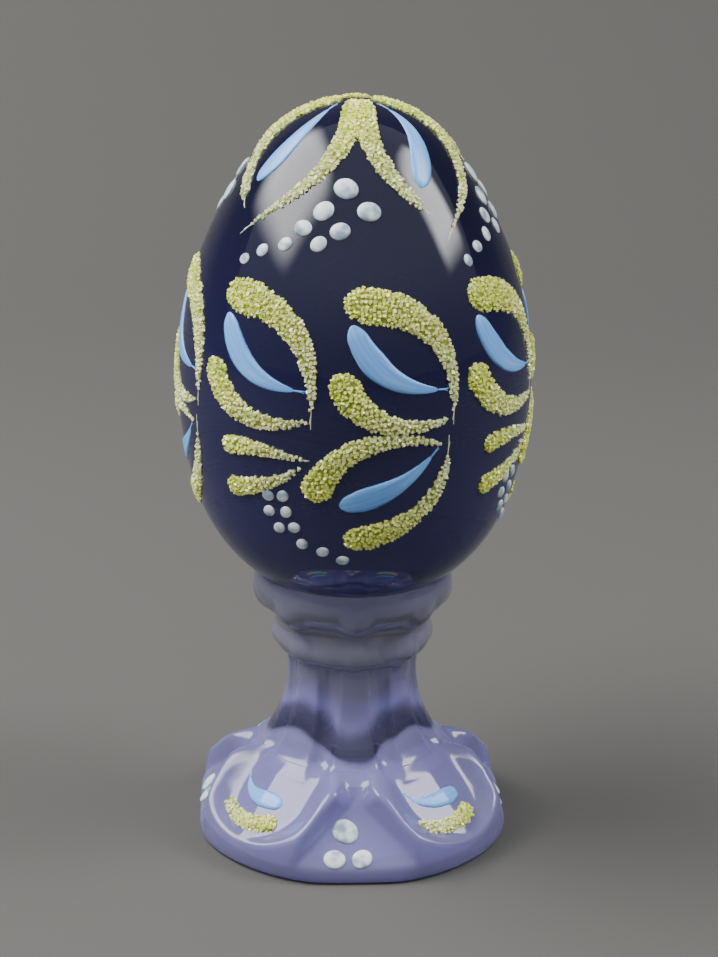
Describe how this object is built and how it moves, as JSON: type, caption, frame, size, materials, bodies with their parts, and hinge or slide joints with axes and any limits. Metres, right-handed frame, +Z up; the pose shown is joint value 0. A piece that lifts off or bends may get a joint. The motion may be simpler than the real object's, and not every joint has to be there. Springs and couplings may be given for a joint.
{
  "type": "decorated glass egg on a pedestal",
  "caption": "Solid cobalt-violet glass egg on a moulded, fluted glass pedestal, decorated with raised glass-bead frit, sky-blue enamel strokes and white dots.",
  "frame": {"origin": "middle of the foot's underside, at table level", "axes": "+Z up along the egg's axis; -Y towards the viewer, through the middle of one triangular panel of the foot"},
  "size_m": [0.0424, 0.0424, 0.0891],
  "materials": {
    "cobalt_glass": "polished, deep cobalt violet",
    "lilac_glass": "fire-polished, lighter where thin",
    "glass_frit": "pale yellow-green glass beads fused on in relief",
    "blue_enamel": "fired sky-blue enamel, brushed",
    "white_enamel": "fired white enamel, domed dots"
  },
  "bodies": {
    "root": {"egg": "cobalt_glass", "pedestal": "lilac_glass", "crown_frit_1": "glass_frit", "crown_frit_2": "glass_frit", "crown_frit_3": "glass_frit", "crown_frit_4": "glass_frit", "crown_blue_1": "blue_enamel", "crown_blue_2": "blue_enamel", "crown_blue_3": "blue_enamel", "crown_blue_4": "blue_enamel", "crown_dots_1": "white_enamel", "crown_dots_2": "white_enamel", "crown_dots_3": "white_enamel", "crown_dots_4": "white_enamel", "leaf_frit_1": "glass_frit", "leaf_frit_2": "glass_frit", "leaf_frit_3": "glass_frit", "leaf_frit_4": "glass_frit", "leaf_frit_5": "glass_frit", "leaf_frit_6": "glass_frit", "leaf_frit_7": "glass_frit", "leaf_frit_8": "glass_frit", "leaf_blue_1": "blue_enamel", "leaf_blue_2": "blue_enamel", "leaf_blue_3": "blue_enamel", "leaf_blue_4": "blue_enamel", "leaf_blue_5": "blue_enamel", "leaf_blue_6": "blue_enamel", "leaf_blue_7": "blue_enamel", "leaf_blue_8": "blue_enamel", "bud_frit_1": "glass_frit", "bud_frit_2": "glass_frit", "bud_frit_3": "glass_frit", "bud_frit_4": "glass_frit", "bud_blue_1": "blue_enamel", "bud_blue_2": "blue_enamel", "bud_blue_3": "blue_enamel", "bud_blue_4": "blue_enamel", "sprig_frit_1": "glass_frit", "sprig_frit_2": "glass_frit", "sprig_frit_3": "glass_frit", "sprig_frit_4": "glass_frit", "sprig_dots_1": "white_enamel", "sprig_dots_2": "white_enamel", "sprig_dots_3": "white_enamel", "sprig_dots_4": "white_enamel", "foot_frit_1": "glass_frit", "foot_frit_2": "glass_frit", "foot_frit_3": "glass_frit", "foot_frit_4": "glass_frit", "foot_blue_1": "blue_enamel", "foot_blue_2": "blue_enamel", "foot_blue_3": "blue_enamel", "foot_blue_4": "blue_enamel", "foot_dots_1": "white_enamel", "foot_dots_2": "white_enamel", "foot_dots_3": "white_enamel", "foot_dots_4": "white_enamel"}
  },
  "joints": []
}
